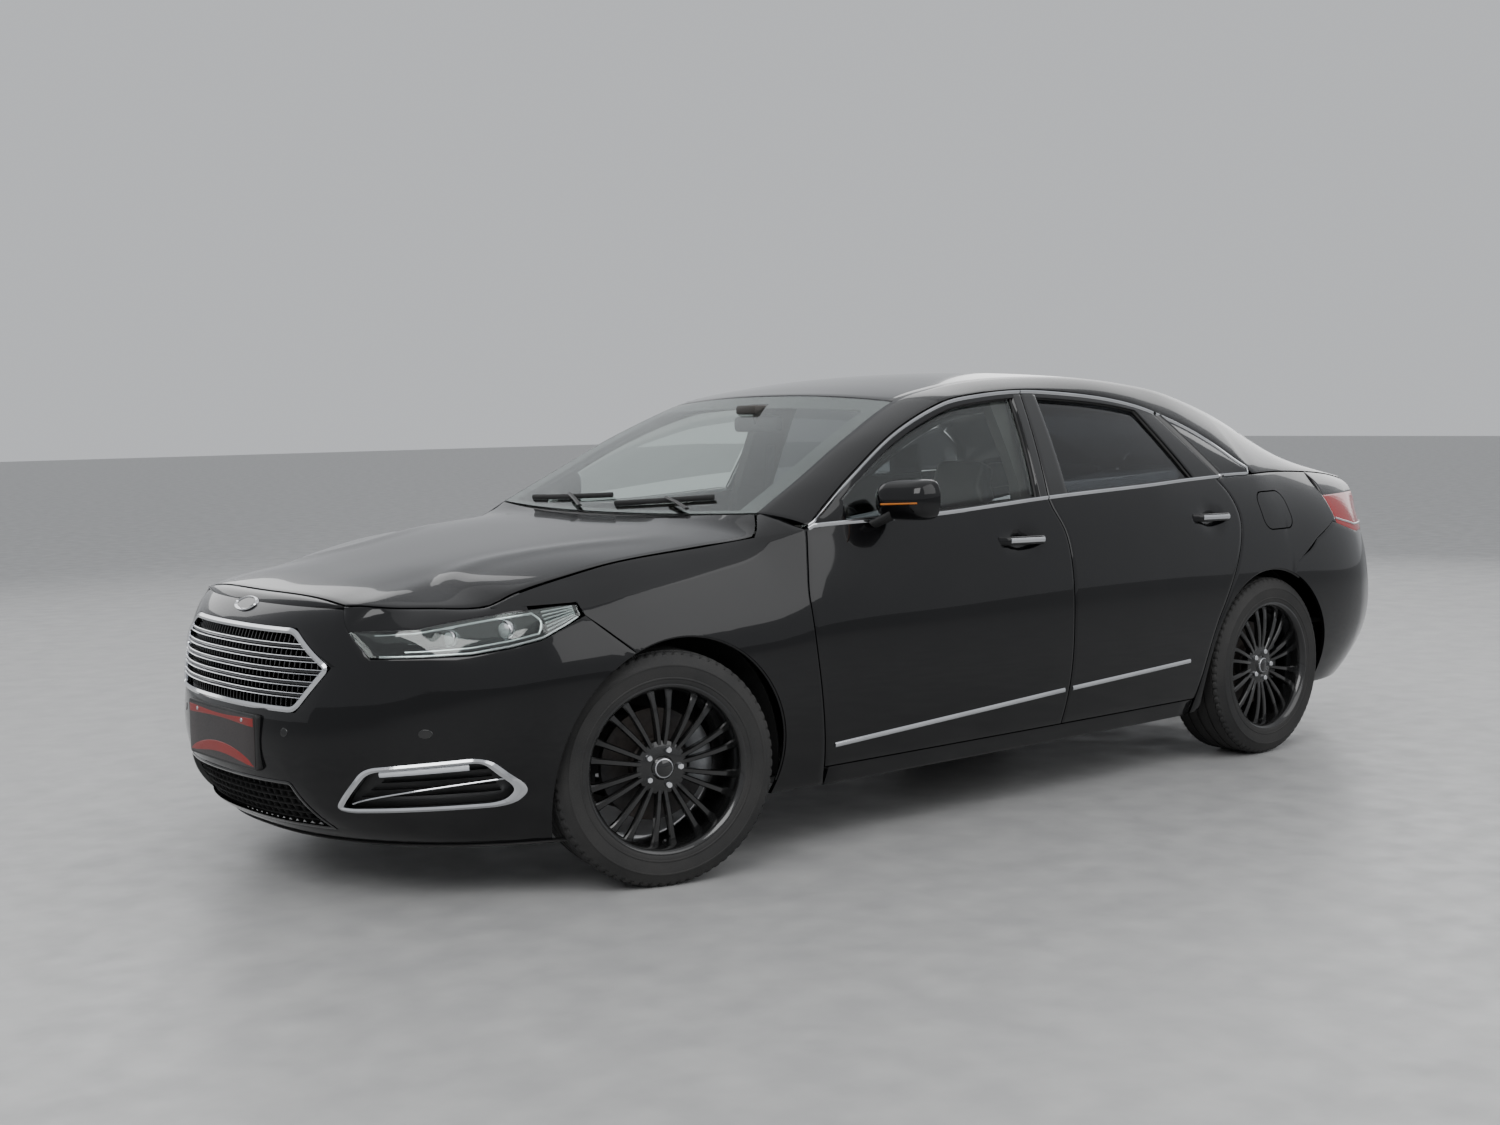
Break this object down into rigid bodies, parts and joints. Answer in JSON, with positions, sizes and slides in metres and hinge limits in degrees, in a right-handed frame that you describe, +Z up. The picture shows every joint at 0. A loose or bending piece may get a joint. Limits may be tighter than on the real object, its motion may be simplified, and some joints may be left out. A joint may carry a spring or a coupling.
{
  "type": "saloon car",
  "caption": "Large four-door saloon car with opening doors, bonnet, boot lid and fuel flap, steered front wheels and a seated cabin.",
  "frame": {"origin": "on the ground under the middle of the car", "axes": "+X forward, +Y to the car's left, +Z up"},
  "size_m": [4.9958, 2.103, 1.502],
  "materials": {
    "body_paint": "gloss",
    "frame_paint": "satin",
    "chrome_trim": "polished",
    "lamp_lens": "clear",
    "red_lens": "clear",
    "clear_glass": "clear",
    "tinted_glass": "clear",
    "liner_plastic": "matte",
    "suspension_iron": "matte",
    "engine_alloy": "satin",
    "exhaust_steel": "satin",
    "cabin_plastic": "matte",
    "seat_leather": "satin",
    "tyre_rubber": "matte",
    "wheel_paint": "gloss"
  },
  "bodies": {
    "body_shell": {"underbody": "frame_paint", "rocker_panels": "body_paint", "centre_pillars": "frame_paint", "side_frames": "body_paint", "roof_panel": "body_paint", "quarter_panels": "body_paint", "front_wings": "body_paint", "front_bumper": "body_paint", "grille": "chrome_trim", "rear_bumper": "body_paint", "headlamps": "lamp_lens", "tail_lamps": "red_lens", "fixed_glass": "clear_glass", "wheel_housings": "liner_plastic", "front_suspension": "suspension_iron", "rear_suspension": "suspension_iron", "engine_and_radiator": "engine_alloy", "exhaust": "exhaust_steel", "dashboard": "cabin_plastic", "steering_wheel": "cabin_plastic", "front_seats": "seat_leather", "rear_seat": "seat_leather"},
    "bonnet": {"bonnet": "body_paint"},
    "boot_lid": {"boot_lid": "body_paint"},
    "fuel_flap": {"fuel_flap": "body_paint"},
    "front_left_door": {"front_left_door": "body_paint", "front_left_glass": "tinted_glass", "left_mirror": "body_paint"},
    "front_right_door": {"front_right_door": "body_paint", "front_right_glass": "tinted_glass", "right_mirror": "body_paint"},
    "rear_left_door": {"rear_left_door": "body_paint", "rear_left_glass": "tinted_glass"},
    "rear_right_door": {"rear_right_door": "body_paint", "rear_right_glass": "tinted_glass"},
    "left_steering_knuckle": {"left_knuckle": "suspension_iron"},
    "right_steering_knuckle": {"right_knuckle": "suspension_iron"},
    "front_left_wheel": {"front_left_tyre": "tyre_rubber", "front_left_rim": "wheel_paint"},
    "front_right_wheel": {"front_right_tyre": "tyre_rubber", "front_right_rim": "wheel_paint"},
    "rear_left_wheel": {"rear_left_tyre": "tyre_rubber", "rear_left_rim": "wheel_paint"},
    "rear_right_wheel": {"rear_right_tyre": "tyre_rubber", "rear_right_rim": "wheel_paint"}
  },
  "joints": [
    {"name": "left_steer", "type": "hinge", "parent": "body_shell", "child": "left_steering_knuckle", "pos_m": [1.51, 0.745, 0.345], "axis": [0, 0, 1], "range_deg": [-20, 50]},
    {"name": "right_steer", "type": "hinge", "parent": "body_shell", "child": "right_steering_knuckle", "pos_m": [1.51, -0.745, 0.345], "axis": [0, 0, 1], "range_deg": [-20, 50]},
    {"name": "front_left_spin", "type": "hinge", "parent": "left_steering_knuckle", "child": "front_left_wheel", "pos_m": [1.52424, 0.79813, 0.345], "axis": [0.2588, 0.9659, 0], "continuous": true},
    {"name": "front_right_spin", "type": "hinge", "parent": "right_steering_knuckle", "child": "front_right_wheel", "pos_m": [1.49577, -0.79813, 0.345], "axis": [0.2588, 0.9659, 0], "continuous": true},
    {"name": "rear_left_spin", "type": "hinge", "parent": "body_shell", "child": "rear_left_wheel", "pos_m": [-1.406, 0.8, 0.345], "axis": [0, 1, 0], "continuous": true},
    {"name": "rear_right_spin", "type": "hinge", "parent": "body_shell", "child": "rear_right_wheel", "pos_m": [-1.406, -0.8, 0.345], "axis": [0, 1, 0], "continuous": true},
    {"name": "front_left_door_hinge", "type": "hinge", "parent": "body_shell", "child": "front_left_door", "pos_m": [1.003, 0.94, 0.6], "axis": [0, 0, -1], "range_deg": [0, 68]},
    {"name": "front_right_door_hinge", "type": "hinge", "parent": "body_shell", "child": "front_right_door", "pos_m": [1.003, -0.94, 0.6], "axis": [0, 0, 1], "range_deg": [0, 68]},
    {"name": "rear_left_door_hinge", "type": "hinge", "parent": "body_shell", "child": "rear_left_door", "pos_m": [-0.165, 0.94, 0.6], "axis": [0, 0, -1], "range_deg": [0, 70]},
    {"name": "rear_right_door_hinge", "type": "hinge", "parent": "body_shell", "child": "rear_right_door", "pos_m": [-0.165, -0.94, 0.6], "axis": [0, 0, 1], "range_deg": [0, 70]},
    {"name": "bonnet_hinge", "type": "hinge", "parent": "body_shell", "child": "bonnet", "pos_m": [1.04, 0, 1.056], "axis": [0, -1, 0], "range_deg": [0, 55]},
    {"name": "boot_lid_hinge", "type": "hinge", "parent": "body_shell", "child": "boot_lid", "pos_m": [-2.118, 0, 1.116], "axis": [0, 1, 0], "range_deg": [0, 80]},
    {"name": "fuel_flap_hinge", "type": "hinge", "parent": "body_shell", "child": "fuel_flap", "pos_m": [-1.403, 0.925, 0.948], "axis": [0, 0, -1], "range_deg": [0, 85]}
  ],
  "couplings": [
    {"joint": "right_steer", "follows": "left_steer", "ratio": 1}
  ]
}
